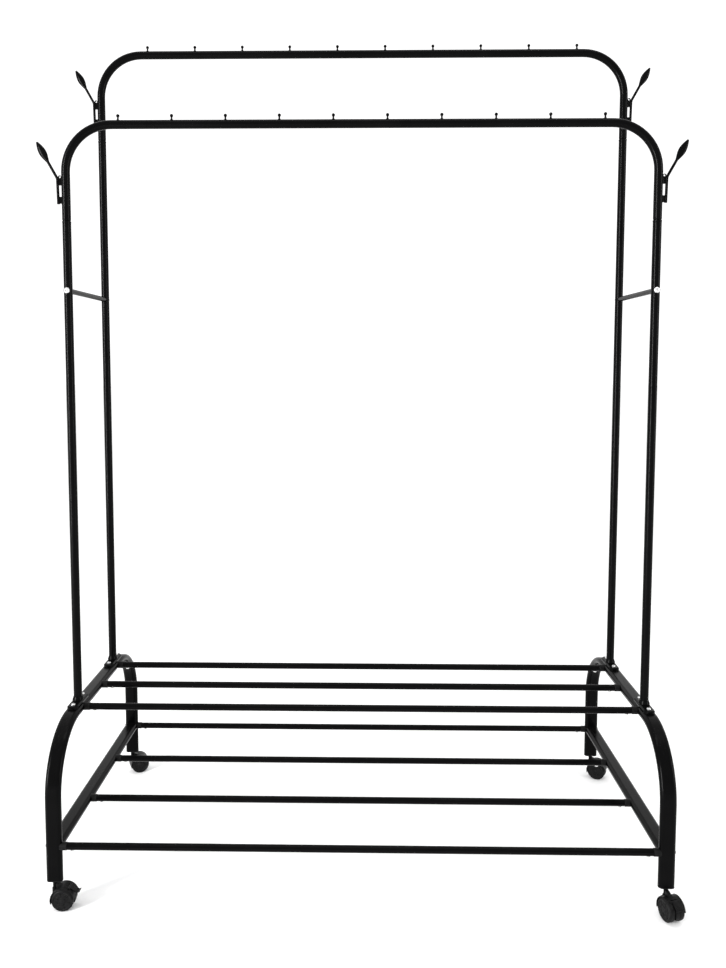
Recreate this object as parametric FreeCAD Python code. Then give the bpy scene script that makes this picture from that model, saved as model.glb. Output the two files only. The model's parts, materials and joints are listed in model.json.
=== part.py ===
"""Double garment rail on casters, with a slatted two-level base and four side hooks.

Millimetres, +Z up, +X to the right, +Y to the back. The floor is Z = 0. The two inverted-U rails stand
on four round uprights, the uprights stand on two flat-oval side frames, and round bars join the side
frames as an upper and a lower shelf. Every piece that comes apart on a bench is written as its own file.
"""

import FreeCAD, Part
import math
import os

V = FreeCAD.Vector
X_AXIS = V(1, 0, 0)
Y_AXIS = V(0, 1, 0)
Z_AXIS = V(0, 0, 1)

# ---- driving dimensions -------------------------------------------------------------------------
SPAN = 1084.0                      # between the axes of the left and the right uprights
HALF = SPAN / 2
UPRIGHT_Y = 116.0                  # uprights stand this far in front of and behind the middle
LEG_Y = 260.0                      # legs of the side frames, from the middle
FOOTPRINT_SHIFT = 8.0              # the casters trail forward, so the footprint's middle does too

LOWER_Z = 114.0                    # axis of the lower shelf bars and of the side crossbars
UPPER_Z = 312.0                    # axis of the upper shelf bars and of the side frames' top runs
CROSSBAR_Z = 1105.0                # axis of the short bars between front and rear uprights
FRONT_RAIL_Z = 1406.0
REAR_RAIL_Z = 1608.0

TUBE_R = 8.0                       # 16 mm round tube: rails and uprights
TUBE_BORE_R = 7.0
RAIL_BEND_R = 85.0
RAIL_DROP = 174.0                  # from a rail's axis down to the seam with its upright
SPIGOT_R = 6.9                     # reduced end of a rail, pushed into the upright
SPIGOT_BORE_R = 5.9
SPIGOT_LENGTH = 32.0
MOUTH_R = 8.3                      # rolled mouth of the upright
MOUTH_LENGTH = 3.0
SEAM_GAP = 0.5
NECK_LENGTH = 1.6

OVAL_W = 29.0                      # flat-oval tube of the side frames, wide face across X
OVAL_T = 15.0
OVAL_WALL = 1.2
FRAME_BEND_R = 115.0
LEG_BOTTOM_Z = 52.5

BAR_R = 6.5                        # shelf bars
BAR_BORE_R = 5.5
BAR_PEG_LENGTH = 28.0
BAR_SCREW_X = 18.0                 # from the inner edge of the side tube to the retaining screw
COLLAR_R = 7.2
COLLAR_LENGTH = 9.0
UPPER_BAR_COUNT = 3
LOWER_BAR_COUNT = 4

CROSSBAR_R = 5.0
CROSSBAR_BORE_R = 4.2

M6_R = 3.0
M6_HOLE_R = 3.2
HEX_ACROSS = 4.0
HEX_DEPTH = 1.9

CROSS_HEAD_R = 5.5
CROSS_HEAD_H = 3.4
CROSS_WASHER_R = 6.2
CROSS_WASHER_T = 1.0
CROSS_NUT_LENGTH = 20.0

FOOT_LENGTH = 78.0                 # plate under each upright
FOOT_WIDTH = 22.0
FOOT_T = 6.0
FOOT_SLOPE = 2.4                   # bevel round the plate's top
FOOT_SCREW_Y = 27.6
FOOT_COLLAR_R = 10.4
FOOT_COLLAR_H = 7.0
FOOT_SPIGOT_H = 28.0
SCREW_HEAD_H = 2.7
FOOT_SCREW = (2.3, 15.0, 3.8)      # shank radius, length under the head, head radius
BAR_SCREW = (1.8, 8.0, 3.3)
SCREW_PLAY = 0.15

PEG_COUNT = 10
PEG_PITCH = SPAN / (PEG_COUNT + 1)
PEG_STEM_R = 1.7
PEG_HEAD_R = 3.1
PEG_RISE = 7.6                     # from the top of the rail to the middle of the peg's ball

HOOK_ROD_R = 2.6
HOOK_LOW = (14.4, -143.0)          # lower end of the rod, (out, up) from the rail leg's and the rail's axes
HOOK_BEND = (15.4, -96.5)
HOOK_TILT = 29.0                   # degrees outward from vertical, above the bend
HOOK_STEM = 35.2                   # from the bend to the base of the leaf
HOOK_BEND_R = 14.0
HOOK_LEAF = (                      # along the leaf, half width, half thickness
    (0.0, 3.0, 2.9), (6.0, 4.7, 3.3), (13.0, 6.5, 4.2), (20.0, 7.0, 4.5),
    (28.0, 5.8, 3.9), (35.0, 3.6, 2.7), (40.0, 1.6, 1.3),
)
HOOK_EYE_Z = -94.0
HOOK_EYE_R = 2.0
HOOK_EYE_RIM = 1.0
HOOK_PAD_T = 4.2                   # standoffs, across Y
HOOK_UPPER_PAD = (-108.9, HOOK_EYE_Z)
HOOK_LOWER_PAD = (-142.0, -129.8)

WHEEL_R = 20.0
WHEEL_IN = 4.4                     # inner and outer faces of a wheel, from the caster's middle
WHEEL_OUT = 14.8
WHEEL_CAP = 2.0
WEB_HALF = 3.6
WEB_LOW = -8.5                     # the web stops this far below the axle
TRAIL = 16.0                       # from the stem's axis to the axle's
HOOD_IN_R = 20.5
HOOD_OUT_R = 21.9
HOOD_HALF = 15.0
HOOD_ROUND = 1.0
HOUSING_GAP = 0.8                  # between a wheel and the boss
HOOD_FROM, HOOD_TO = 10.0, 196.0   # degrees about the axle, 0 at the trailing side, 90 up
BOSS_R = 5.3
BOSS_TOP_Z = 37.0
RIB_TOP_Z = 46.0                   # rib from the boss to the crown of the hood
RIB_HALF = 3.4
RIB_DEPTH = 6.8                    # from the crown down into the web
RIB_FOOT_X = -2.2                  # where it meets the crown, from the axle
AXLE_R = 2.5
AXLE_HALF = 12.4
STEM_R = 4.0
STEM_LOW_Z = 30.0
STEM_TOP_Z = 86.0
STEM_COLLAR_R = 5.0
STEM_COLLAR_H = 1.5
FIT = 0.05                         # radial running clearance
PLUG_FLANGE_T = 1.6
PLUG_DEPTH = 30.0

LEVER_PIVOT_R = 22.4
LEVER_PIVOT_ANGLE = 62.0
LEVER_TIP = (25.0, 11.2)           # end of the pedal, from the axle
LEVER_TOE = 4.0
LEVER_HALF = 6.2
LEVER_T = 2.0
LEVER_PIN_R = 0.9
LEVER_BOSS_R = 1.8
LEVER_PLAY = 0.5                   # each side of the pedal
LUG_REACH = 3.6                    # outer face of a lug, beyond the pedal's edge
SLOT_TO = 72.0                     # upper end of the pedal's slot in the hood, degrees

SWIVEL = {                         # how each caster stands at rest, degrees about Z from +X
    "front_left": 0.0,
    "front_right": -74.0,
    "rear_left": 26.0,
    "rear_right": -25.0,
}
SIDES = {"left": -1, "right": 1}
ENDS = {"front": -1, "rear": 1}


# ---- helpers ------------------------------------------------------------------------------------
def rod(radius, start, end):
    """Solid cylinder between two points."""
    axis = end - start
    return Part.makeCylinder(radius, axis.Length, start, axis)


def pipe(radius, bore, start, end):
    return rod(radius, start, end).cut(rod(bore, start, end))


def turned(outline, origin, axis, radial):
    """Solid of revolution from (radius, height) points along an axis."""
    points = [origin + radial * r + axis * h for r, h in outline]
    face = Part.Face(Part.makePolygon(points + points[:1]))
    return face.revolve(origin, axis, 360)


def hex_socket(across, depth, origin, axis):
    """Six-sided recess, cut from origin along axis."""
    corner = across / math.sqrt(3)
    ring = [V(corner * math.cos(math.radians(60 * i)), corner * math.sin(math.radians(60 * i)), 0)
            for i in range(6)]
    prism = Part.Face(Part.makePolygon(ring + ring[:1])).extrude(V(0, 0, depth))
    prism.Placement = FreeCAD.Placement(origin, FreeCAD.Rotation(Z_AXIS, axis))
    return prism


def oval_face(width, thickness, middle):
    """Horizontal flat-oval face, long way across X."""
    r, flat = thickness / 2, (width - thickness) / 2
    a, b = V(-flat, -r, 0), V(flat, -r, 0)
    c, d = V(flat, r, 0), V(-flat, r, 0)
    edges = [Part.makeLine(a, b), Part.Arc(b, V(flat + r, 0, 0), c).toShape(), Part.makeLine(c, d),
             Part.Arc(d, V(-flat - r, 0, 0), a).toShape()]
    face = Part.Face(Part.Wire(edges))
    face.translate(middle)
    return face


def in_pairs(make):
    """One compound of a piece made for each of the four corners."""
    return Part.makeCompound([make(sx, ey) for sx in SIDES.values() for ey in ENDS.values()])


def save(name, shape):
    shape = shape.copy()
    shape.translate(V(0, FOOTPRINT_SHIFT, 0))
    shape.exportStep("parts/" + name + ".step")


# ---- rails --------------------------------------------------------------------------------------
def rail_sweep(radius, y, z):
    """Inverted U of round section, from just above the seams up and over."""
    foot = z - RAIL_DROP + NECK_LENGTH + SEAM_GAP
    start = Part.Face(Part.Wire(Part.makeCircle(radius, V(-HALF, y, foot), Z_AXIS)))
    mid = RAIL_BEND_R * (1 - math.cos(math.radians(45)))
    path = Part.Wire([
        Part.makeLine(V(-HALF, y, foot), V(-HALF, y, z - RAIL_BEND_R)),
        Part.Arc(V(-HALF, y, z - RAIL_BEND_R), V(-HALF + mid, y, z - mid),
                 V(-HALF + RAIL_BEND_R, y, z)).toShape(),
        Part.makeLine(V(-HALF + RAIL_BEND_R, y, z), V(HALF - RAIL_BEND_R, y, z)),
        Part.Arc(V(HALF - RAIL_BEND_R, y, z), V(HALF - mid, y, z - mid),
                 V(HALF, y, z - RAIL_BEND_R)).toShape(),
        Part.makeLine(V(HALF, y, z - RAIL_BEND_R), V(HALF, y, foot)),
    ])
    return path.makePipe(start)


def rail(y, z):
    """Hollow rail with a reduced spigot at each end."""
    tube = rail_sweep(TUBE_R, y, z).cut(rail_sweep(TUBE_BORE_R, y, z))
    seam = z - RAIL_DROP
    shoulder = seam + SEAM_GAP + NECK_LENGTH
    outline = [
        (SPIGOT_BORE_R, seam - SPIGOT_LENGTH), (SPIGOT_R, seam - SPIGOT_LENGTH), (SPIGOT_R, seam + SEAM_GAP),
        (TUBE_R - 0.2, shoulder - 0.4), (TUBE_R, shoulder), (TUBE_BORE_R, shoulder),
        (SPIGOT_BORE_R, seam + SEAM_GAP),
    ]
    outline = [(r, h - seam) for r, h in outline]
    for sx in SIDES.values():
        tube = tube.fuse(turned(outline, V(sx * HALF, y, seam), Z_AXIS, X_AXIS))
    return tube.removeSplitter()


def stop_pegs(y, z):
    """Row of ball-headed pegs that keep hangers apart."""
    pegs = []
    for i in range(PEG_COUNT):
        x = -HALF + PEG_PITCH * (i + 1)
        ball = Part.makeSphere(PEG_HEAD_R, V(x, y, z + TUBE_R + PEG_RISE))
        stem = rod(PEG_STEM_R, V(x, y, z), V(x, y, z + TUBE_R + PEG_RISE))
        pegs.append(ball.fuse(stem).cut(rod(TUBE_R, V(x - 10, y, z), V(x + 10, y, z))))
    return Part.makeCompound(pegs)


# ---- uprights and their feet ----------------------------------------------------------------------
FOOT_Z = UPPER_Z + OVAL_T / 2      # top face of a side frame
PLATE_TOP = FOOT_Z + FOOT_T


def upright(x, y, rail_z):
    seam = rail_z - RAIL_DROP
    top, low = seam - PLATE_TOP, 0.0
    outline = [
        (TUBE_BORE_R, low), (TUBE_R, low), (TUBE_R, top - MOUTH_LENGTH - 0.6), (MOUTH_R, top - MOUTH_LENGTH),
        (MOUTH_R, top - 0.5), (MOUTH_R - 0.5, top), (TUBE_BORE_R, top),
    ]
    tube = turned(outline, V(x, y, PLATE_TOP), Z_AXIS, X_AXIS)
    return tube.cut(rod(M6_HOLE_R, V(x, y - 20, CROSSBAR_Z), V(x, y + 20, CROSSBAR_Z)))


def foot_plate(sx, ey):
    """Screwed-down plate with a spigot inside the upright and a collar round its foot."""
    x, y = sx * HALF, ey * UPRIGHT_Y
    plate = oval_face(FOOT_LENGTH, FOOT_WIDTH, V(0, 0, 0)).extrude(V(0, 0, FOOT_T))
    plate = plate.makeChamfer(FOOT_SLOPE, [e for e in plate.Edges if e.BoundBox.ZMin > FOOT_T - 0.01])
    plate.rotate(V(0, 0, 0), Z_AXIS, 90)
    plate.translate(V(x, y, FOOT_Z))
    inner = SPIGOT_R
    collar = [(TUBE_R, 0), (FOOT_COLLAR_R, 0), (FOOT_COLLAR_R, 1.5), (TUBE_R + 0.5, FOOT_COLLAR_H),
              (TUBE_R, FOOT_COLLAR_H)]
    spigot = [(0, 0), (inner, 0), (inner, FOOT_SPIGOT_H - 1), (inner - 1, FOOT_SPIGOT_H), (0, FOOT_SPIGOT_H)]
    for outline in (collar, spigot):
        plate = plate.fuse(turned(outline, V(x, y, PLATE_TOP), Z_AXIS, X_AXIS))
    for side in (-1, 1):
        spot = V(x, y + side * FOOT_SCREW_Y, FOOT_Z - 1)
        plate = plate.cut(rod(FOOT_SCREW[0] + SCREW_PLAY, spot, spot + V(0, 0, 10)))
    return plate.removeSplitter()


def pan_screw(size, head, out):
    """Pan-head screw with a cross recess: head is the middle of the underside, out its outward side."""
    radius, length, head_r = size
    outline = [(0, -length), (radius * 0.4, -length), (radius, 1.5 - length), (radius, 0), (head_r, 0),
               (head_r, SCREW_HEAD_H * 0.4), (head_r - 0.6, SCREW_HEAD_H * 0.75),
               (head_r - 1.7, SCREW_HEAD_H), (0, SCREW_HEAD_H)]
    screw = turned(outline, head, out, X_AXIS)
    arm, slot, deep = head_r * 0.56, 0.45, 1.3
    for length, width in ((arm, slot), (slot, arm)):
        recess = Part.makeBox(2 * length, 2 * width, 2 * deep, V(-length, -width, SCREW_HEAD_H - deep))
        recess.Placement = FreeCAD.Placement(head, FreeCAD.Rotation(Z_AXIS, out)).multiply(recess.Placement)
        screw = screw.cut(recess)
    return screw


def foot_screws():
    return Part.makeCompound([
        pan_screw(FOOT_SCREW, V(sx * HALF, ey * UPRIGHT_Y + side * FOOT_SCREW_Y, PLATE_TOP), Z_AXIS)
        for sx in SIDES.values() for ey in ENDS.values() for side in (-1, 1)
    ])


# ---- short crossbars between front and rear uprights ------------------------------------------------
def mid_crossbar(sx):
    """Round bar with its ends coped to sit against the uprights."""
    x, reach = sx * HALF, UPRIGHT_Y - TUBE_R + 2.0
    bar = pipe(CROSSBAR_R, CROSSBAR_BORE_R, V(x, -reach, CROSSBAR_Z), V(x, reach, CROSSBAR_Z))
    for ey in ENDS.values():
        upright = rod(TUBE_R, V(x, ey * UPRIGHT_Y, CROSSBAR_Z - 10), V(x, ey * UPRIGHT_Y, CROSSBAR_Z + 10))
        bar = bar.cut(upright)
    return bar


def crossbar_nut(sx, ey):
    """Threaded plug inside the end of a crossbar."""
    inner = ey * (UPRIGHT_Y - TUBE_R - 1.0)
    far = inner - ey * CROSS_NUT_LENGTH
    return pipe(CROSSBAR_BORE_R, M6_R, V(sx * HALF, inner, CROSSBAR_Z), V(sx * HALF, far, CROSSBAR_Z))


def crossbar_washer(sx, ey):
    """Saddle washer: flat under the bolt's head, hollow against the round upright."""
    x, y = sx * HALF, ey * UPRIGHT_Y
    face = y + ey * (TUBE_R + CROSS_WASHER_T)
    body = rod(CROSS_WASHER_R, V(x, y + ey * (TUBE_R - 3.2), CROSSBAR_Z), V(x, face, CROSSBAR_Z))
    body = body.cut(rod(TUBE_R, V(x, y, CROSSBAR_Z - 10), V(x, y, CROSSBAR_Z + 10)))
    return body.cut(rod(M6_HOLE_R, V(x, y, CROSSBAR_Z), V(x, y + ey * 20, CROSSBAR_Z)))


def crossbar_bolt(sx, ey):
    """Button-head bolt through the upright into the crossbar's plug."""
    head = V(sx * HALF, ey * (UPRIGHT_Y + TUBE_R + CROSS_WASHER_T), CROSSBAR_Z)
    out = V(0, ey, 0)
    shank = UPRIGHT_Y + TUBE_R + CROSS_WASHER_T - (UPRIGHT_Y - TUBE_R - CROSS_NUT_LENGTH + 4.0)
    outline = [(0, -shank), (M6_R - 0.6, -shank), (M6_R, 0.8 - shank), (M6_R, 0), (CROSS_HEAD_R, 0),
               (CROSS_HEAD_R, 0.7), (CROSS_HEAD_R - 0.7, 2.0), (CROSS_HEAD_R - 1.8, 2.9),
               (CROSS_HEAD_R - 3.0, CROSS_HEAD_H), (0, CROSS_HEAD_H)]
    bolt = turned(outline, head, out, X_AXIS)
    return bolt.cut(hex_socket(HEX_ACROSS, HEX_DEPTH + 1, head + out * (CROSS_HEAD_H - HEX_DEPTH), out))


# ---- side frames ----------------------------------------------------------------------------------
def frame_run(width, thickness, x):
    """Flat-oval section carried up the front leg, over the top and down the rear leg."""
    top = UPPER_Z
    shoulder = top - FRAME_BEND_R
    solids = []
    for ey in ENDS.values():
        leg = oval_face(width, thickness, V(x, ey * LEG_Y, LEG_BOTTOM_Z))
        solids.append(leg.extrude(V(0, 0, shoulder - LEG_BOTTOM_Z)))
        bend = oval_face(width, thickness, V(x, ey * LEG_Y, shoulder))
        solids.append(bend.revolve(V(x, ey * (LEG_Y - FRAME_BEND_R), shoulder), V(ey, 0, 0), 90))
    flat = oval_face(width, thickness, V(x, 0, 0))
    flat.rotate(V(x, 0, 0), X_AXIS, 90)
    straight = LEG_Y - FRAME_BEND_R
    flat.translate(V(0, straight, top))
    solids.append(flat.extrude(V(0, -2 * straight, 0)))
    return solids[0].fuse(solids[1:]).removeSplitter()


def bar_places():
    """(name, y, z) of every shelf bar."""
    upper = ("front", "middle", "rear")
    lower = ("front", "mid_front", "mid_rear", "rear")
    places = []
    for i in range(UPPER_BAR_COUNT):
        y = -UPRIGHT_Y + 2 * UPRIGHT_Y * i / (UPPER_BAR_COUNT - 1)
        places.append(("upper_shelf_bar_" + upper[i], y, UPPER_Z))
    for i in range(LOWER_BAR_COUNT):
        y = -LEG_Y + 2 * LEG_Y * i / (LOWER_BAR_COUNT - 1)
        places.append(("lower_shelf_bar_" + lower[i], y, LOWER_Z))
    return places


def side_frame(sx):
    """Bent leg tube with its drilled holes."""
    x = sx * HALF
    tube = frame_run(OVAL_W, OVAL_T, x).cut(frame_run(OVAL_W - 2 * OVAL_WALL, OVAL_T - 2 * OVAL_WALL, x))
    for ey in ENDS.values():
        for side in (-1, 1):
            spot = V(x, ey * UPRIGHT_Y + side * FOOT_SCREW_Y, UPPER_Z)
            tube = tube.cut(rod(FOOT_SCREW[0], spot, spot + V(0, 0, OVAL_T)))
    return tube


def side_crossbar(sx):
    """Flat-oval tube between the legs of a side frame, coped round them and clear of the shelf bars."""
    x = sx * HALF
    tubes = []
    for wall in (0, OVAL_WALL):
        face = oval_face(OVAL_W - 2 * wall, OVAL_T - 2 * wall, V(0, 0, 0))
        face.rotate(V(0, 0, 0), X_AXIS, 90)
        face.translate(V(x, LEG_Y, LOWER_Z))
        tubes.append(face.extrude(V(0, -2 * LEG_Y, 0)))
    bar = tubes[0].cut(tubes[1])
    for ey in ENDS.values():
        leg = oval_face(OVAL_W, OVAL_T, V(x, ey * LEG_Y, LOWER_Z - OVAL_T)).extrude(V(0, 0, 2 * OVAL_T))
        middle = V(x, ey * LEG_Y, LOWER_Z)
        collar = rod(COLLAR_R + SCREW_PLAY, middle, middle - V(sx * OVAL_W, 0, 0))
        bar = bar.cut(leg.fuse(collar))
    return max(bar.Solids, key=lambda s: s.Volume)


# ---- shelf bars -----------------------------------------------------------------------------------
BAR_END = HALF - OVAL_W / 2        # inner edge of the side tubes


def side_edge(sx, y, z):
    """Rounded inner edge of the side tube that a bar at (y, z) meets."""
    axis_x = sx * (BAR_END + OVAL_T / 2)
    along = V(0, 0, 12) if abs(y) == LEG_Y else V(0, 12, 0)
    middle = V(axis_x, y, z)
    return rod(OVAL_T / 2, middle - along, middle + along)


def shelf_bar(y, z):
    """Round tube with both ends coped to the side tubes' rounded edges."""
    reach = BAR_END + 4.0
    bar = pipe(BAR_R, BAR_BORE_R, V(-reach, y, z), V(reach, y, z))
    for sx in SIDES.values():
        bar = bar.cut(side_edge(sx, y, z))
        low, high = screw_line(sx, y, z)
        bar = bar.cut(rod(BAR_SCREW[0] + SCREW_PLAY, low, V(low.x, low.y, z)))
    return max(bar.Solids, key=lambda s: s.Volume)


def bar_collar(sx, y, z):
    """Plastic ferrule over a bar's end."""
    inner = BAR_END - COLLAR_LENGTH
    outline = [(BAR_R, 0), (COLLAR_R - 0.4, 0), (COLLAR_R, 0.8), (COLLAR_R, COLLAR_LENGTH + 3.5),
               (BAR_R, COLLAR_LENGTH + 3.5)]
    ring = turned(outline, V(sx * inner, y, z), V(sx, 0, 0), Z_AXIS)
    return ring.cut(side_edge(sx, y, z))


def bar_peg(sx, y, z):
    """Round peg welded to the side tube, which the end of a bar slides over."""
    inner = BAR_END - BAR_PEG_LENGTH
    peg = rod(BAR_BORE_R - FIT, V(sx * inner, y, z), V(sx * (BAR_END + 4.0), y, z)).cut(side_edge(sx, y, z))
    return peg.cut(rod(BAR_SCREW[0], *screw_line(sx, y, z)))


def screw_line(sx, y, z):
    """Start and end of the hole for the screw that holds a bar on its peg, from below."""
    x = sx * (BAR_END - BAR_SCREW_X)
    return V(x, y, z - BAR_R - 1.0), V(x, y, z - BAR_R + BAR_SCREW[1])


def bar_screw(sx, y, z):
    return pan_screw(BAR_SCREW, V(sx * (BAR_END - BAR_SCREW_X), y, z - BAR_R), Z_AXIS * -1)


def at_bar_ends(make):
    return Part.makeCompound([make(sx, y, z) for name, y, z in bar_places() for sx in SIDES.values()])


# ---- side hooks -----------------------------------------------------------------------------------
def mirrored(shape, sx, y, z):
    """A right-hand hook piece, moved to one rail's leg."""
    placed = shape.copy() if sx > 0 else shape.mirror(V(0, 0, 0), X_AXIS)
    placed.translate(V(sx * HALF, y, z))
    return placed


def hook_rod():
    """Round rod: up beside the tube, a short bend, then out to the leaf."""
    low, bend = V(HOOK_LOW[0], 0, HOOK_LOW[1]), V(HOOK_BEND[0], 0, HOOK_BEND[1])
    tilt = math.radians(HOOK_TILT)
    up, out = (bend - low).normalize(), V(math.sin(tilt), 0, math.cos(tilt))
    turn = up.getAngle(out)
    setback = HOOK_BEND_R * math.tan(turn / 2)
    start, end = bend - up * setback, bend + out * setback
    centre = start + V(up.z, 0, -up.x) * HOOK_BEND_R
    middle = centre + (bend - centre).normalize() * HOOK_BEND_R
    path = Part.Wire([Part.makeLine(low, start), Part.Arc(start, middle, end).toShape(),
                      Part.makeLine(end, bend + out * (HOOK_STEM + 2.0))])
    return path.makePipe(Part.Face(Part.Wire(Part.makeCircle(HOOK_ROD_R, low, up))))


def hook_leaf():
    """Flattened leaf that the rod's end is forged into."""
    rings = []
    for along, wide, thick in HOOK_LEAF:
        ring = Part.Ellipse(V(0, 0, along), wide, thick).toShape()
        rings.append(Part.Wire(ring))
    leaf = Part.makeLoft(rings, True)
    leaf.rotate(V(0, 0, 0), Y_AXIS, HOOK_TILT)
    tilt = math.radians(HOOK_TILT)
    leaf.translate(V(HOOK_BEND[0], 0, HOOK_BEND[1]) + V(math.sin(tilt), 0, math.cos(tilt)) * HOOK_STEM)
    return leaf


def hook_pads():
    """Standoffs between the rail's leg and the rod; the upper one ends in a small round eye."""
    inner, reach = TUBE_R - 1.2, HOOK_BEND[0]
    eye_x = (TUBE_R + HOOK_BEND[0] - HOOK_ROD_R) / 2
    half = V(0, HOOK_PAD_T / 2, 0)
    eye = V(eye_x, 0, HOOK_EYE_Z)
    pads = []
    for low, high in (HOOK_UPPER_PAD, HOOK_LOWER_PAD):
        pads.append(Part.makeBox(reach - inner, HOOK_PAD_T, high - low, V(inner, -HOOK_PAD_T / 2, low)))
    pads[0] = pads[0].fuse(rod(HOOK_EYE_R + HOOK_EYE_RIM, eye - half, eye + half))
    pads[0] = pads[0].cut(rod(HOOK_EYE_R, eye - half * 2, eye + half * 2))
    beside = rod(TUBE_R, V(0, 0, HOOK_LOW[1] - 5), V(0, 0, 0)).fuse(hook_rod())
    pads = [pad.cut(beside) for pad in pads]
    return [max(pad.Solids, key=lambda s: s.Volume) for pad in pads]


# ---- casters --------------------------------------------------------------------------------------
def leg_plug(sx, ey):
    """Plastic plug in the bottom of a leg, bored for the caster's stem."""
    x, y = sx * HALF, ey * LEG_Y
    flange = oval_face(OVAL_W, OVAL_T, V(x, y, LEG_BOTTOM_Z - PLUG_FLANGE_T)).extrude(V(0, 0, PLUG_FLANGE_T))
    inner = oval_face(OVAL_W - 2 * OVAL_WALL, OVAL_T - 2 * OVAL_WALL, V(x, y, LEG_BOTTOM_Z))
    plug = flange.fuse(inner.extrude(V(0, 0, PLUG_DEPTH))).removeSplitter()
    return plug.cut(rod(STEM_R, V(x, y, 0), V(x, y, LEG_BOTTOM_Z + 2 * PLUG_DEPTH)))


def caster_stem(sx, ey):
    """Steel stem, with a collar under the plug."""
    plug_z = LEG_BOTTOM_Z - PLUG_FLANGE_T
    outline = [(0, STEM_LOW_Z), (STEM_R - 0.6, STEM_LOW_Z), (STEM_R, STEM_LOW_Z + 0.6),
               (STEM_R, plug_z - STEM_COLLAR_H), (STEM_COLLAR_R, plug_z - STEM_COLLAR_H),
               (STEM_COLLAR_R, plug_z), (STEM_R, plug_z), (STEM_R, STEM_TOP_Z - 4),
               (STEM_R - 1.2, STEM_TOP_Z), (0, STEM_TOP_Z)]
    return turned(outline, V(sx * HALF, ey * LEG_Y, 0), Z_AXIS, X_AXIS)


def hood_sector(outer, inner, half, start, stop):
    """Part of a ring about the axle, between two angles."""
    box = Part.Face(Part.makePolygon([V(inner, -half, 0), V(outer, -half, 0), V(outer, half, 0),
                                      V(inner, half, 0), V(inner, -half, 0)]))
    box.rotate(V(0, 0, 0), Y_AXIS, -start)
    return box.revolve(V(0, 0, 0), Y_AXIS, -(stop - start))


def polar(radius, angle):
    return V(radius * math.cos(math.radians(angle)), 0, radius * math.sin(math.radians(angle)))


def caster_body(braked):
    """Hood, web and swivel boss in one moulding; origin on the axle, +X is the trailing side."""
    hood = hood_sector(HOOD_OUT_R, HOOD_IN_R, HOOD_HALF, HOOD_FROM, HOOD_TO)
    sides = [e for e in hood.Edges if e.BoundBox.YLength < 0.1 and e.BoundBox.DiagonalLength > HOOD_OUT_R * 1.9]
    crown = [e for e in sides if abs(e.Curve.Radius - HOOD_OUT_R) < 0.1]
    hood = hood.makeFillet(HOOD_ROUND, crown)
    web = rod(HOOD_IN_R + 0.5, V(0, -WEB_HALF, 0), V(0, WEB_HALF, 0))
    under = V(-2 * WHEEL_R, -2 * WEB_HALF, WEB_LOW - WHEEL_R)
    web = web.cut(Part.makeBox(4 * WHEEL_R, 4 * WEB_HALF, WHEEL_R, under))
    stem_x, axle_z = -TRAIL, WHEEL_R
    boss_low = STEM_LOW_Z - 3 - axle_z
    boss = rod(BOSS_R, V(stem_x, 0, boss_low), V(stem_x, 0, BOSS_TOP_Z - axle_z))
    inside = rod(WHEEL_R + HOUSING_GAP, V(0, -HOOD_HALF, 0), V(0, -WEB_HALF, 0))
    inside = inside.fuse(rod(WHEEL_R + HOUSING_GAP, V(0, WEB_HALF, 0), V(0, HOOD_HALF, 0)))
    body = hood.fuse([web, boss.cut(inside), caster_rib()])
    if braked:
        body = body.fuse(brake_lugs())
        slot = hood_sector(HOOD_OUT_R + 3, HOOD_IN_R - 0.3, LEVER_HALF + LEVER_PLAY, HOOD_FROM - 1, SLOT_TO)
        body = body.cut(slot.fuse(lever_pin()))
    body = body.cut(rod(AXLE_R, V(0, -20, 0), V(0, 20, 0)))
    body = body.cut(rod(STEM_R + FIT, V(stem_x, 0, STEM_LOW_Z - 0.5 - axle_z), V(stem_x, 0, 40)))
    return body.removeSplitter()


def caster_rib():
    """Rib behind the stem, flat at the top and sloping down to the crown of the hood."""
    top, low = RIB_TOP_Z - WHEEL_R, BOSS_TOP_Z - RIB_DEPTH / 2 - WHEEL_R
    places = ((-TRAIL, low), (-TRAIL, top), (-TRAIL + STEM_COLLAR_R, top),
              (RIB_FOOT_X, HOOD_OUT_R), (RIB_FOOT_X, HOOD_OUT_R - RIB_DEPTH))
    outline = [V(x, -RIB_HALF, z) for x, z in places]
    return Part.Face(Part.makePolygon(outline + outline[:1])).extrude(V(0, 2 * RIB_HALF, 0))


def brake_lugs():
    """Ears on the hood, one each side of the slot, that carry the lever's pin."""
    pivot = polar(LEVER_PIVOT_R, LEVER_PIVOT_ANGLE)
    ears = []
    for side in (-1, 1):
        near, far = side * (LEVER_HALF + LEVER_PLAY), side * (LEVER_HALF + LUG_REACH)
        ears.append(rod(LEVER_BOSS_R + 0.1, pivot + V(0, near, 0), pivot + V(0, far, 0)))
    return ears


def lever_pin():
    pivot = polar(LEVER_PIVOT_R, LEVER_PIVOT_ANGLE)
    reach = V(0, LEVER_HALF + LUG_REACH - 0.4, 0)
    return rod(LEVER_PIN_R, pivot - reach, pivot + reach)


def brake_lever():
    """Pedal that lies over the slot, with an upturned toe."""
    pivot = polar(LEVER_PIVOT_R, LEVER_PIVOT_ANGLE)
    tip = V(LEVER_TIP[0], 0, LEVER_TIP[1])
    along = (tip - pivot).normalize()
    up = V(-along.z, 0, along.x)
    toe = tip + (along * 0.5 + up * 0.9) * LEVER_TOE
    half = up * (LEVER_T / 2)
    outline = [pivot - half, tip - half, toe - half * 0.4 + along, toe + half * 0.4, tip + half, pivot + half]
    side = V(0, LEVER_HALF, 0)
    plate = Part.Face(Part.makePolygon([p - side for p in outline + outline[:1]])).extrude(side * 2)
    lever = plate.fuse(rod(LEVER_BOSS_R, pivot - side, pivot + side))
    return lever.removeSplitter().cut(rod(LEVER_PIN_R + FIT, pivot - side * 2, pivot + side * 2))


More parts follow.
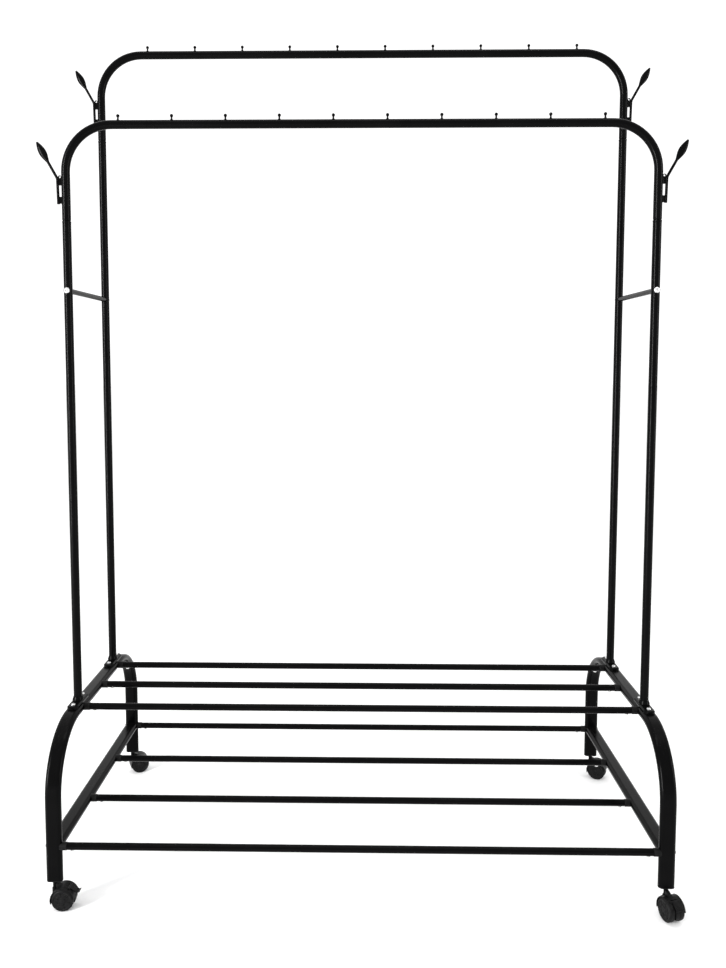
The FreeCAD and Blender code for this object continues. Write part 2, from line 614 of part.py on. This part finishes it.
def wheel(side):
    """Moulded wheel with a rounded tread, a dished face, a raised hub and a blind axle bore."""
    width = WHEEL_OUT - WHEEL_IN
    outline = [
        (0, width), (5.0, width), (6.0, width - 1.2), (14.6, width - 1.2), (15.6, width - 0.2), (17.4, width),
        (19.0, width - 0.9), (WHEEL_R - 0.2, width - 2.4), (WHEEL_R, width - 4), (WHEEL_R, 2.5),
        (WHEEL_R - 0.5, 0.9), (19.0, 0), (16.5, 0), (16.0, 1.5), (7.0, 1.5), (6.4, 0), (0, 0),
    ]
    start = V(0, side * WHEEL_IN, 0)
    shape = turned(outline, start, V(0, side, 0), X_AXIS)
    bore = rod(AXLE_R + FIT, V(0, 0, 0), V(0, side * (WHEEL_OUT - WHEEL_CAP), 0))
    return shape.cut(bore)


def place_caster(shape, corner, sx, ey):
    """Move a caster piece from its axle frame to its leg."""
    placed = shape.copy()
    placed.translate(V(TRAIL, 0, WHEEL_R))
    placed.rotate(V(0, 0, 0), Z_AXIS, SWIVEL[corner])
    placed.translate(V(sx * HALF, ey * LEG_Y, 0))
    return placed


# ---- write every piece ----------------------------------------------------------------------------
def main():
    os.makedirs("parts", exist_ok=True)
    rails = {"front": FRONT_RAIL_Z, "rear": REAR_RAIL_Z}
    hook, pads = hook_rod().fuse(hook_leaf()), []
    for end, ey in ENDS.items():
        y, z = ey * UPRIGHT_Y, rails[end]
        save(end + "_rail", rail(y, z))
        save(end + "_stop_pegs", stop_pegs(y, z))
        for side, sx in SIDES.items():
            save("upright_" + end + "_" + side, upright(sx * HALF, y, z))
            save("hook_" + end + "_" + side, mirrored(hook, sx, y, z))
            pads += [mirrored(pad, sx, y, z) for pad in hook_pads()]
    save("hook_standoffs", Part.makeCompound(pads))
    save("foot_plates", in_pairs(foot_plate))
    save("foot_screws", foot_screws())

    for side, sx in SIDES.items():
        save("mid_crossbar_" + side, mid_crossbar(sx))
        save("side_frame_" + side, side_frame(sx))
        save("side_crossbar_" + side, side_crossbar(sx))
    save("crossbar_nuts", in_pairs(crossbar_nut))
    save("crossbar_washers", in_pairs(crossbar_washer))
    save("crossbar_bolts", in_pairs(crossbar_bolt))

    for name, y, z in bar_places():
        save(name, shelf_bar(y, z))
    save("bar_end_collars", at_bar_ends(bar_collar))
    save("bar_end_pegs", at_bar_ends(bar_peg))
    save("bar_end_screws", at_bar_ends(bar_screw))

    save("leg_plugs", in_pairs(leg_plug))
    save("caster_stems", in_pairs(caster_stem))
    axle = rod(AXLE_R, V(0, -AXLE_HALF, 0), V(0, AXLE_HALF, 0))
    wheels = {"wheel_a_": wheel(-1), "wheel_b_": wheel(1)}
    for end, ey in ENDS.items():
        body = caster_body(end == "front")
        for side, sx in SIDES.items():
            corner = end + "_" + side
            pieces = {"caster_body_": body, "caster_axle_": axle, **wheels}
            if end == "front":
                pieces.update({"brake_lever_": brake_lever(), "brake_pin_": lever_pin()})
            for name, shape in pieces.items():
                save(name + corner, place_caster(shape, corner, sx, ey))


main()
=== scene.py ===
"""Looks for the double garment rail: materials, welds, caster mouldings, stage, light and camera.

Metres, in the CAD frame: +Z up, +X right, +Y to the back, floor at Z = 0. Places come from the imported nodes
and joints. The few small measures that these don't give repeat the ones in the part's source.
"""

import json
import math

import bpy
from mathutils import Matrix, Vector


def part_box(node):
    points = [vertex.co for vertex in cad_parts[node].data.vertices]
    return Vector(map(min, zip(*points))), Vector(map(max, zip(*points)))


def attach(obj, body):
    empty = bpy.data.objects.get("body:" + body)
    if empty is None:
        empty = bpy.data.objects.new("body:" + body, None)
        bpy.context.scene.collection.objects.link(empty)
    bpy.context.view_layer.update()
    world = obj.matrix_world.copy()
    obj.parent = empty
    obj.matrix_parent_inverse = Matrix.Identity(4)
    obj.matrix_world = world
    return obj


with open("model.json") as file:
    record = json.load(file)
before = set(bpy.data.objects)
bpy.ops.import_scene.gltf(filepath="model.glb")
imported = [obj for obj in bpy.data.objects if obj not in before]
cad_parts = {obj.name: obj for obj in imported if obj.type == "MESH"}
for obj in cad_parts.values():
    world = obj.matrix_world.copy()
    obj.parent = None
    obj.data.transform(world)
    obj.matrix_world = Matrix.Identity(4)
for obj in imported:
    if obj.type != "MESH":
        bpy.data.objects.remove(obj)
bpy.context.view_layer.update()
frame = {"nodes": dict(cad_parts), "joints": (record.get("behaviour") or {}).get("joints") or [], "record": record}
NODES = frame["nodes"]
RECORD = frame["record"]

X, Y, Z = Vector((1, 0, 0)), Vector((0, 1, 0)), Vector((0, 0, 1))
CORNERS = ("front_left", "front_right", "rear_left", "rear_right")
OVAL_THICKNESS = 0.015                       # of the side frames' flat-oval tube
SMOOTH_ANGLE = math.radians(32)

# ---- measures read from the frame ---------------------------------------------------------------


def centre(node):
    """Middle of a node's box."""
    low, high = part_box(node)
    return (low + high) / 2


def joint(name):
    """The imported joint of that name."""
    return next(j for j in frame["joints"] if j["name"] == name)


def smoothstep(value):
    """Smooth ramp from 0 at 0 to 1 at 1."""
    value = min(max(value, 0.0), 1.0)
    return value * value * (3 - 2 * value)


# ---- materials ----------------------------------------------------------------------------------
class Material:
    """A Principled material, with short calls for the nodes that feed it."""

    def __init__(self, name, **constants):
        self.data = bpy.data.materials.new(name)
        self.data.use_nodes = True
        self.tree = self.data.node_tree
        self.shader = self.tree.nodes["Principled BSDF"]
        for socket, value in constants.items():
            self.shader.inputs[socket.replace("_", " ")].default_value = value
        self.place = self.tree.nodes.new("ShaderNodeTexCoord").outputs["Object"]

    def node(self, kind, **settings):
        made = self.tree.nodes.new("ShaderNode" + kind)
        for key, value in settings.items():
            setattr(made, key, value)
        return made

    def link(self, source, target):
        self.tree.links.new(source, target)

    def stretched(self, scale):
        mapping = self.node("Mapping")
        mapping.inputs["Scale"].default_value = scale
        self.link(self.place, mapping.inputs["Vector"])
        return mapping.outputs["Vector"]

    def noise(self, scale, detail=2.0, roughness=0.5, along=None):
        made = self.node("TexNoise")
        made.inputs["Scale"].default_value = scale
        made.inputs["Detail"].default_value = detail
        made.inputs["Roughness"].default_value = roughness
        self.link(self.stretched(along) if along else self.place, made.inputs["Vector"])
        return made.outputs["Fac"]

    def cells(self, scale):
        made = self.node("TexVoronoi")
        made.inputs["Scale"].default_value = scale
        self.link(self.place, made.inputs["Vector"])
        return made.outputs["Distance"]

    def remap(self, source, low, high, to_low, to_high):
        made = self.node("MapRange", interpolation_type="SMOOTHSTEP")
        for socket, value in zip(("From Min", "From Max", "To Min", "To Max"), (low, high, to_low, to_high)):
            made.inputs[socket].default_value = value
        self.link(source, made.inputs["Value"])
        return made.outputs["Result"]

    def times(self, a, b):
        made = self.node("Math", operation="MULTIPLY")
        self.link(a, made.inputs[0])
        self.link(b, made.inputs[1])
        return made.outputs[0]

    def plus(self, a, b):
        made = self.node("Math", operation="ADD")
        self.link(a, made.inputs[0])
        self.link(b, made.inputs[1])
        return made.outputs[0]

    def mixed(self, factor, a, b):
        """Colour mix; a and b are sockets or colours."""
        made = self.node("Mix", data_type="RGBA")
        self.link(factor, made.inputs["Factor"])
        for value, socket in ((a, made.inputs[6]), (b, made.inputs[7])):
            if isinstance(value, tuple):
                socket.default_value = (*value, 1)
            else:
                self.link(value, socket)
        return made.outputs[2]

    def facing_up(self, start, full):
        """1 on faces that point up in the piece's own frame, where dust settles."""
        split = self.node("SeparateXYZ")
        self.link(self.node("TexCoord").outputs["Normal"], split.inputs[0])
        return self.remap(split.outputs["Z"], start, full, 0.0, 1.0)

    def colour(self, socket):
        self.link(socket, self.shader.inputs["Base Color"])

    def rough(self, socket):
        self.link(socket, self.shader.inputs["Roughness"])

    def bump(self, *layers):
        """Layers of (height socket, strength, depth in metres), the coarsest first."""
        normal = None
        for height, strength, depth in layers:
            made = self.node("Bump")
            made.inputs["Strength"].default_value = strength
            made.inputs["Distance"].default_value = depth
            self.link(height, made.inputs["Height"])
            if normal:
                self.link(normal, made.inputs["Normal"])
            normal = made.outputs["Normal"]
        self.link(normal, self.shader.inputs["Normal"])


def powder_coat(name, rub_and_highlight=0.0, grain=(1, 1, 1)):
    """Satin-gloss black powder coat: orange peel, faint cloudiness, dust on top, and lighter rubbed streaks on top
    faces that are partly wear and partly a painted highlight.
    """
    made = Material(name, Specular_IOR_Level=0.05)
    cloud = made.noise(9, 5, 0.6)
    body = made.mixed(made.remap(cloud, 0.35, 0.68, 0, 1), (0.0006, 0.0006, 0.0007), (0.0015, 0.0015, 0.0016))
    specks = made.remap(made.noise(420, 3, 0.7), 0.64, 0.78, 0, 0.5)
    body = made.mixed(specks, body, (0.008, 0.008, 0.0083))
    top = made.facing_up(0.72, 0.98)
    dust = made.times(top, made.remap(made.noise(48, 6, 0.72), 0.3, 0.75, 0.008, 0.045))
    body = made.mixed(dust, body, (0.048, 0.047, 0.045))
    gloss = made.remap(made.noise(16, 5, 0.65), 0.3, 0.72, 0.17, 0.25)
    gloss = made.plus(gloss, made.times(dust, made.remap(cloud, 0.2, 0.8, 0.8, 1.2)))
    # rubbed streaks: lighter colour only on top faces, partly scuffed wear and partly a painted highlight along
    # the top
    if rub_and_highlight:
        rub_highlight_mask = made.remap(made.noise(70, 4, 0.75, along=grain), 0.56, 0.72, 0, rub_and_highlight)
        rub_highlight_mask = made.times(rub_highlight_mask, made.facing_up(0.55, 0.9))
        body = made.mixed(rub_highlight_mask, body, (0.03, 0.0295, 0.029))
        gloss = made.plus(gloss, made.times(rub_highlight_mask, made.remap(cloud, 0.2, 0.8, -0.12, -0.06)))
    made.colour(body)
    made.rough(gloss)
    made.bump((made.noise(230, 2, 0.4), 0.05, 0.0004), (made.noise(900, 2, 0.5), 0.05, 0.00012))
    return made.data


def black_moulding(name, base, gloss, grain, dusting):
    """Black nylon moulding with a fine spark-eroded grain, flow marks and dust."""
    made = Material(name, Specular_IOR_Level=0.08)
    flow = made.noise(120, 4, 0.6)
    body = made.mixed(made.remap(flow, 0.3, 0.7, 0, 1), tuple(base * k for k in (1, 1, 1.05)),
                      tuple(base * k for k in (1.9, 1.9, 1.95)))
    dust = made.remap(made.noise(190, 6, 0.75), 0.5, 0.78, 0.0, dusting)
    body = made.mixed(dust, body, (0.14, 0.135, 0.125))
    made.colour(body)
    made.rough(made.plus(made.remap(flow, 0.25, 0.75, gloss - 0.05, gloss + 0.06), dust))
    made.bump((flow, 0.06, 0.0005), (made.cells(grain), 0.22, 0.0002))
    return made.data


def zinc(name):
    """Bright zinc plate: turned rings, a cloudy passivate and small dull spots."""
    made = Material(name, Metallic=1.0)
    cloud = made.noise(320, 4, 0.6)
    body = made.mixed(made.remap(cloud, 0.3, 0.7, 0, 1), (0.66, 0.67, 0.69), (0.83, 0.82, 0.80))
    spots = made.remap(made.noise(900, 3, 0.6), 0.62, 0.72, 0, 0.5)
    made.colour(made.mixed(spots, body, (0.42, 0.41, 0.40)))
    clouded = made.remap(cloud, 0.3, 0.7, 0.2, 0.32)
    made.rough(made.plus(clouded, made.times(spots, made.remap(cloud, 0, 1, 0.2, 0.4))))
    made.bump((made.noise(1500, 2, 0.5, along=(1, 1, 9)), 0.15, 0.0001))
    return made.data


COAT = powder_coat("powder_coat")
MATERIALS = {
    "powder_coat": COAT,
    "black_plastic": black_moulding("black_plastic", 0.0030, 0.46, 1500, 0.05),
    "caster_plastic": black_moulding("caster_plastic", 0.0028, 0.34, 1900, 0.06),
    "caster_tread": black_moulding("caster_tread", 0.0034, 0.46, 1300, 0.10),
    "zinc_steel": zinc("zinc_steel"),
}
RUBBED_AND_HIGHLIT = {                                  # where hangers, bags and boxes slide along the coat; the lighter rubbed streaks on top faces are also a painted highlight
    "rail": powder_coat("powder_coat_rail", 0.55, (0.10, 6, 6)),
    "bar": powder_coat("powder_coat_bar", 0.40, (0.12, 5, 5)),
    "frame": powder_coat("powder_coat_frame", 0.30, (5, 0.16, 5)),
}
RUBBED_AND_HIGHLIT_NODES = {"front_rail": "rail", "rear_rail": "rail"}
for flat_tube in ("side_frame_left", "side_frame_right", "side_crossbar_left", "side_crossbar_right"):
    RUBBED_AND_HIGHLIT_NODES[flat_tube] = "frame"


def paint(obj, material):
    """Give an object one material."""
    obj.data.materials.clear()
    obj.data.materials.append(material)


for row in RECORD["subparts"]:
    node, slot = row["node"], row["material_slot"]
    use = RUBBED_AND_HIGHLIT_NODES.get(node) or ("bar" if "shelf_bar" in node else None)
    paint(NODES[node], RUBBED_AND_HIGHLIT[use] if use else MATERIALS[slot])


# ---- mesh pieces --------------------------------------------------------------------------------
def piece(name, vertices, faces, body, slot):
    """A smooth-shaded mesh piece with sharp edges kept, painted and riding on a body."""
    mesh = bpy.data.meshes.new(name)
    mesh.from_pydata([tuple(v) for v in vertices], [], faces)
    mesh.validate()
    mesh.update()
    obj = bpy.data.objects.new(name, mesh)
    bpy.context.scene.collection.objects.link(obj)
    mesh.shade_smooth()
    mesh.set_sharp_from_angle(angle=SMOOTH_ANGLE)
    paint(obj, MATERIALS[slot])
    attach(obj, body)
    return obj


class Shapes:
    """Vertices and faces of several closed forms, gathered into one piece."""

    def __init__(self):
        self.vertices, self.faces = [], []

    def add(self, vertices, faces):
        start = len(self.vertices)
        self.vertices += vertices
        self.faces += [tuple(i + start for i in face) for face in faces]

    def tube(self, rings, closed):
        """Skin over equal rings of points; closed joins the last ring to the first."""
        count, sides = len(rings), len(rings[0])
        faces = []
        for i in range(count if closed else count - 1):
            a, b = i * sides, (i + 1) % count * sides
            faces += [(a + k, a + (k + 1) % sides, b + (k + 1) % sides, b + k) for k in range(sides)]
        if not closed:
            faces += [tuple(range(sides - 1, -1, -1)), tuple(range((count - 1) * sides, count * sides))]
        self.add([v for ring in rings for v in ring], faces)

    def bead(self, path, radius, closed=False, ripple=0.16, pitch=0.0021, lift=None):
        """Weld bead: a low rope along a path, swelling once for every puddle."""
        count, sides, travelled, rings = len(path), 8, 0.0, []
        for i, point in enumerate(path):
            before = path[i - 1] if i or closed else point
            after = path[(i + 1) % count] if i < count - 1 or closed else point
            along = (after - before).normalized()
            travelled += (point - path[i - 1]).length if i else 0.0
            swell = 1 + ripple * math.sin(2 * math.pi * travelled / pitch)
            if not closed:
                swell *= 0.35 + 0.65 * smoothstep(min(i, count - 1 - i) / 3)
            side = along.cross(lift or Z)
            side = side.normalized() if side.length > 1e-6 else X
            up = side.cross(along).normalized()
            turns = [2 * math.pi * k / sides for k in range(sides)]
            rings.append([point + (side * math.cos(t) + up * math.sin(t)) * radius * swell for t in turns])
        self.tube(rings, closed)

    def turned(self, outline, origin, axis, sides=40):
        """Closed ring or disc of revolution from (radius, height) points."""
        axis = axis.normalized()
        across = axis.orthogonal().normalized()
        other = axis.cross(across)
        rings = []
        for k in range(sides):
            turn = 2 * math.pi * k / sides
            radial = across * math.cos(turn) + other * math.sin(turn)
            rings.append([origin + radial * r + axis * h for r, h in outline])
        self.tube(rings, True)

    def prism(self, outline, depth):
        """Outline of points carried along a vector, with both ends closed."""
        self.tube([outline, [p + depth for p in outline]], False)

    def make(self, name, body, slot):
        return piece(name, self.vertices, self.faces, body, slot)


# ---- welds on the frame -------------------------------------------------------------------------
def oval_outline(width, thickness, count):
    """Points round a flat oval, as (across, up), evenly spaced."""
    r, flat = thickness / 2, (width - thickness) / 2
    arc, run = math.pi * r, 2 * flat
    total = 2 * (arc + run)
    points = []
    for i in range(count):
        s = total * i / count
        if s < run:
            points.append((s - flat, r))
        elif s < run + arc:
            turn = (s - run) / r
            points.append((flat + r * math.sin(turn), r * math.cos(turn)))
        elif s < 2 * run + arc:
            points.append((flat - (s - run - arc), -r))
        else:
            turn = (s - 2 * run - arc) / r
            points.append((-flat - r * math.sin(turn), -r * math.cos(turn)))
    return points


def frame_welds():
    """Beads where each side crossbar meets its two legs."""
    for side in ("left", "right"):
        low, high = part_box("side_crossbar_" + side)
        leg_low, leg_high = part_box("side_frame_" + side)
        middle, width, tall = (low + high) / 2, high.x - low.x, high.z - low.z
        shapes = Shapes()
        for leg_y, inward in ((leg_low.y + OVAL_THICKNESS, 1), (leg_high.y - OVAL_THICKNESS, -1)):
            path = []
            for across, up in oval_outline(width + 0.0008, tall + 0.0008, 76):
                flat = (width - tall) / 2
                beyond = max(abs(across) - flat, 0.0)
                r = OVAL_THICKNESS / 2
                recede = r - math.sqrt(max(r * r - min(beyond, r) ** 2, 0.0))
                path.append(Vector((middle.x + across, leg_y - inward * recede * 0.92, middle.z + up)))
            shapes.bead(path, 0.0011, closed=True, lift=Y)
        shapes.make("weld_crossbar_" + side, "root", "powder_coat")


PEG_COUNT = 10                               # on each rail
PEG_STEM_R = 0.0017


def peg_welds():
    """A small fillet of weld round the foot of every stop peg, lying on the round rail."""
    for end in ("front", "rear"):
        low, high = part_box(end + "_stop_pegs")
        radius = (high.y - low.y) / 2
        first, last = low.x + radius, high.x - radius
        rail_low, rail_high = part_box(end + "_rail")
        rail_r = (rail_high.y - rail_low.y) / 2
        axis_z, axis_y = rail_high.z - rail_r, (rail_low.y + rail_high.y) / 2
        shapes = Shapes()
        for i in range(PEG_COUNT):
            x = first + (last - first) * i / (PEG_COUNT - 1)
            path = []
            for k in range(28):
                turn = 2 * math.pi * k / 28
                dx, dy = math.cos(turn) * (PEG_STEM_R + 0.0005), math.sin(turn) * (PEG_STEM_R + 0.0005)
                path.append(Vector((x + dx, axis_y + dy, axis_z + math.sqrt(rail_r ** 2 - dy ** 2) + 0.0001)))
            shapes.bead(path, 0.00075, closed=True, pitch=0.0017)
        shapes.make("weld_pegs_" + end, "root", "powder_coat")


HOOK_PADS = ((-0.1089, -0.0972), (-0.142, -0.1298))   # heights of the two standoffs, from the rail's axis
HOOK_PAD_HALF = 0.0021
HOOK_ROD_X, HOOK_ROD_R = 0.0146, 0.0026       # the rod's distance from the leg's axis, and its radius
BEAD_POINTS = 18


def hook_welds():
    """Beads down both edges of the standoffs, against the tube and against the hook's rod."""
    for end in ("front", "rear"):
        rail_low, rail_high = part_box(end + "_rail")
        rail_r = (rail_high.y - rail_low.y) / 2
        axis_y, axis_z = (rail_low.y + rail_high.y) / 2, rail_high.z - rail_r
        for side, sign in (("left", -1), ("right", 1)):
            leg_x = sign * (rail_high.x - rail_r)
            shapes = Shapes()
            for low, high in HOOK_PADS:
                for edge in (-1, 1):
                    y = axis_y + edge * (HOOK_PAD_HALF + 0.0002)
                    tube_x = math.sqrt(rail_r ** 2 - HOOK_PAD_HALF ** 2)
                    rod_x = HOOK_ROD_X - math.sqrt(HOOK_ROD_R ** 2 - HOOK_PAD_HALF ** 2)
                    for away in (tube_x + 0.0002, rod_x):
                        steps = [(high - low) * k / (BEAD_POINTS - 1) for k in range(BEAD_POINTS)]
                        path = [Vector((leg_x + sign * away, y, axis_z + low + step)) for step in steps]
                        shapes.bead(path, 0.0007, pitch=0.0018, lift=Y)
            shapes.make("weld_hook_" + end + "_" + side, "root", "powder_coat")


# ---- casters ------------------------------------------------------------------------------------
HUB_R, DISH_R = 0.0066, 0.0144               # where a wheel's ribs start and stop
DISH_DEPTH = 0.0012
RIBS = 6


def caster_axes(corner):
    """Axle centre, axle direction and trailing direction of a caster at rest."""
    roll, swivel = joint("roll_a_" + corner), joint("swivel_" + corner)
    middle = centre("caster_axle_" + corner)
    axle = Vector(roll["axis"]).normalized()
    stem = Vector(swivel["pos_m"])
    trail = Vector((middle.x - stem.x, middle.y - stem.y, 0)).normalized()
    return middle, axle, trail, stem


def wheel_face(corner, letter):
    """Hub cap, ring and tapered ribs on the outer face of one wheel."""
    middle, axle, _, _ = caster_axes(corner)
    wheel = NODES["wheel_%s_%s" % (letter, corner)].data
    reach = [(v.co - middle).dot(axle) for v in wheel.vertices]
    out = axle if max(reach) > -min(reach) else -axle
    face = max(abs(r) for r in reach)
    base = middle + out * (face - DISH_DEPTH)
    shapes = Shapes()
    shapes.turned([(0.0093, -0.0003), (0.0093, 0.0003), (0.0097, 0.0006), (0.0103, 0.0006), (0.0107, 0.0003),
                   (0.0107, -0.0003)], base, out, 56)
    shapes.turned([(0.0001, 0.0008), (0.0001, 0.0016), (0.0022, 0.0015), (0.0030, 0.0011), (0.0030, 0.0008)],
                  base, out, 32)
    across = out.orthogonal().normalized()
    for i in range(RIBS):
        turn = Matrix.Rotation(2 * math.pi * i / RIBS, 3, out)
        radial, side = turn @ across, turn @ out.cross(across)
        outline = [base + radial * HUB_R - side * 0.0011, base + radial * DISH_R - side * 0.0007,
                   base + radial * DISH_R + side * 0.0007, base + radial * HUB_R + side * 0.0011]
        low = [p - out * 0.0003 for p in outline]
        high = [base + (p - base) * 0.995 + out * 0.0008 - (p - base).project(side) * 0.35 for p in outline]
        shapes.tube([low, high], False)
    shapes.make("wheel_face_%s_%s" % (letter, corner), "wheel_%s_%s" % (letter, corner), "caster_tread")


HOOD_R, HOOD_EDGE = 0.0219, 0.0148           # outer radius of a hood and where its side lips run
HOOD_TURN = (12, 194)                        # degrees that the hood covers, from the trailing side
PEDAL_END = 74                               # where the slot for the pedal ends, on the front casters
PARTING_END = 122                            # where the parting line meets the boss
BOSS_REACH = 0.0054                          # just past the boss's radius
BOSS_RING = [(0.0041, -0.0008), (0.0047, -0.0008), (0.0053, -0.0014),
             (0.0055, -0.0008), (0.0051, 0.0002), (0.0042, 0.0004)]
GUSSET_Y = (0.0047, 0.0099)                  # from the stem's axis, along the axle
GUSSET_Z = (0.0325, 0.0344, 0.0362)          # foot, and the top at its outer and inner ends
GUSSET_AHEAD, GUSSET_T = 0.0020, 0.0014      # ahead of the stem, to clear the wheels; thickness


def hood_arc(middle, trail, radius, start, stop, offset, count=46):
    """Points over a hood between two angles, in degrees from its trailing side."""
    points = []
    for k in range(count):
        turn = math.radians(start + (stop - start) * k / (count - 1))
        points.append(middle + (trail * math.cos(turn) + Z * math.sin(turn)) * radius + offset)
    return points


def caster_trim(corner):
    """Lips along a hood's two edges, a parting line over its crown and gussets beside the boss."""
    middle, axle, trail, stem = caster_axes(corner)
    shapes = Shapes()
    start = PEDAL_END if corner.startswith("front") else HOOD_TURN[0]
    for side in (-1, 1):
        edge = axle * (side * (HOOD_EDGE - 0.0012))
        shapes.bead(hood_arc(middle, trail, HOOD_R - 0.00035, *HOOD_TURN, edge), 0.00062, ripple=0)
    shapes.bead(hood_arc(middle, trail, HOOD_R - 0.0002, start, PARTING_END, Vector()), 0.0004, ripple=0)
    shapes.turned(BOSS_RING, Vector((stem.x, stem.y, boss_top(corner))), Z, 40)
    foot, outer_top, inner_top = (Z * height for height in GUSSET_Z)
    for side in (-1, 1):
        root = Vector((stem.x, stem.y, 0)) + axle * (side * GUSSET_Y[0]) - trail * GUSSET_AHEAD
        tip = root + axle * (side * (GUSSET_Y[1] - GUSSET_Y[0]))
        shapes.prism([root + inner_top, tip + outer_top, tip + foot, root + foot], trail * GUSSET_T)
    shapes.make("caster_trim_" + corner, "caster_" + corner, "caster_plastic")


def boss_top(corner):
    """Height of the swivel boss's top face, read on the side of the stem away from the rib."""
    _, _, trail, stem = caster_axes(corner)
    offsets = [(v.co - stem, v.co.z) for v in NODES["caster_body_" + corner].data.vertices]
    return max(z for offset, z in offsets if offset.to_2d().length < BOSS_REACH and offset.dot(trail) < 0)


PEDAL_TIP = (0.025, 0.0112)                  # from the axle: trailing, up
PEDAL_RIBS = (0.0075, 0.0100, 0.0125)        # from the pedal's pin
PEDAL_RIB_WIDTH = 0.0098


def pedal_ribs(corner):
    """Three grip ribs across the brake pedal."""
    pivot = Vector(joint("brake_" + corner)["pos_m"])
    middle, axle, trail, _ = caster_axes(corner)
    tip = middle + trail * PEDAL_TIP[0] + Z * PEDAL_TIP[1]
    along = (tip - pivot).normalized()
    up = along.cross(axle)
    up = up if up.z > 0 else -up
    shapes = Shapes()
    for step in PEDAL_RIBS:
        spot = pivot + along * step + up * 0.00095
        path = [spot + axle * (k / 10 - 0.5) * PEDAL_RIB_WIDTH for k in range(11)]
        shapes.bead(path, 0.0005, ripple=0, lift=up)
    shapes.make("pedal_ribs_" + corner, "brake_" + corner, "caster_plastic")


frame_welds()
peg_welds()
hook_welds()
for corner_name in CORNERS:
    caster_trim(corner_name)
    for wheel_letter in "ab":
        wheel_face(corner_name, wheel_letter)
    if corner_name.startswith("front"):
        pedal_ribs(corner_name)


# ---- stage, light and camera --------------------------------------------------------------------
FLOOR_R = 40.0


def floor():
    """A pale round floor, very slightly cloudy."""
    mesh = bpy.data.meshes.new("floor")
    sides, rings = 96, 12
    vertices, faces = [(0, 0, 0)], []
    for ring in range(1, rings + 1):
        radius = FLOOR_R * (ring / rings) ** 2
        turns = [2 * math.pi * k / sides for k in range(sides)]
        vertices += [(radius * math.cos(turn), radius * math.sin(turn), 0) for turn in turns]
    faces += [(0, 1 + k, 1 + (k + 1) % sides) for k in range(sides)]
    for ring in range(rings - 1):
        a, b = 1 + ring * sides, 1 + (ring + 1) * sides
        faces += [(a + k, b + k, b + (k + 1) % sides, a + (k + 1) % sides) for k in range(sides)]
    mesh.from_pydata(vertices, [], faces)
    obj = bpy.data.objects.new("floor", mesh)
    bpy.context.scene.collection.objects.link(obj)
    made = Material("floor_paint", Specular_IOR_Level=0.15)
    cloud = made.noise(1.3, 3, 0.5)
    made.colour(made.mixed(made.remap(cloud, 0.3, 0.7, 0, 1), (0.90, 0.90, 0.90), (0.93, 0.93, 0.93)))
    made.rough(made.remap(cloud, 0.3, 0.7, 0.62, 0.7))
    made.bump((made.noise(240, 3, 0.5), 0.05, 0.0004))
    mesh.materials.append(made.data)


def sky():
    """Even white studio surround, a little dimmer behind the camera."""
    world = bpy.data.worlds.new("studio")
    bpy.context.scene.world = world
    world.use_nodes = True
    tree = world.node_tree
    shade = tree.nodes["Background"]
    split = tree.nodes.new("ShaderNodeSeparateXYZ")
    tree.links.new(tree.nodes.new("ShaderNodeTexCoord").outputs["Generated"], split.inputs[0])
    ramp = tree.nodes.new("ShaderNodeMapRange")
    ramp.interpolation_type = "SMOOTHSTEP"
    for socket, value in zip(("From Min", "From Max", "To Min", "To Max"), (-0.75, 0.45, 1.04, 1.22)):
        ramp.inputs[socket].default_value = value
    tree.links.new(split.outputs["Y"], ramp.inputs["Value"])
    tree.links.new(ramp.outputs["Result"], shade.inputs["Strength"])
    shade.inputs["Color"].default_value = (1, 1, 1, 1)


def softbox(name, place, target, width, height, radiance):
    """Rectangular area light, aimed at a point; its power grows with its area."""
    light = bpy.data.lights.new(name, "AREA")
    light.shape, light.size, light.size_y = "RECTANGLE", width, height
    light.energy = radiance * math.pi * width * height
    obj = bpy.data.objects.new(name, light)
    bpy.context.scene.collection.objects.link(obj)
    obj.location = place
    obj.rotation_mode = "QUATERNION"
    obj.rotation_quaternion = (Vector(target) - Vector(place)).to_track_quat("-Z", "Y")


CAMERA_PLACE = Vector((0.0101, -1.7359, 0.9713))
CAMERA_PITCH, CAMERA_YAW = 0.077025, -0.017562   # radians: down, and to the right
CAMERA_ROLL = 0.0008                         # radians; a positive roll turns the picture clockwise
CAMERA_LENS, SENSOR = 32.48, 36.0            # millimetres
CAMERA_SHIFT = (0.0134, -0.0552)


def camera():
    """Camera at the front, a little above the middle of the rail and looking slightly down."""
    data = bpy.data.cameras.new("camera")
    data.sensor_fit, data.sensor_width, data.lens = "AUTO", SENSOR, CAMERA_LENS
    data.shift_x, data.shift_y = CAMERA_SHIFT
    data.clip_start, data.clip_end = 0.05, 60
    obj = bpy.data.objects.new("camera", data)
    bpy.context.scene.collection.objects.link(obj)
    level = math.cos(CAMERA_PITCH)
    forward = Vector((math.sin(CAMERA_YAW) * level, math.cos(CAMERA_YAW) * level, -math.sin(CAMERA_PITCH)))
    right = Vector((math.cos(CAMERA_YAW), -math.sin(CAMERA_YAW), 0))
    up = right.cross(forward)
    tilted_right = right * math.cos(CAMERA_ROLL) + up * math.sin(CAMERA_ROLL)
    tilted_up = up * math.cos(CAMERA_ROLL) - right * math.sin(CAMERA_ROLL)
    turn = Matrix((tilted_right, tilted_up, -forward)).transposed().to_4x4()
    obj.matrix_world = Matrix.Translation(CAMERA_PLACE) @ turn
    bpy.context.scene.camera = obj


floor()
sky()
softbox("key_left", (-3.4, -3.0, 1.2), (0, 0, 0.8), 0.55, 3.0, 60.0)
softbox("top", (0.2, -0.6, 4.4), (0, 0, 0), 3.0, 0.5, 5.0)
softbox("fill_right", (3.8, -1.6, 1.4), (0, 0, 0.8), 0.5, 2.4, 14.0)
camera()
bpy.context.scene.view_settings.view_transform = "Standard"
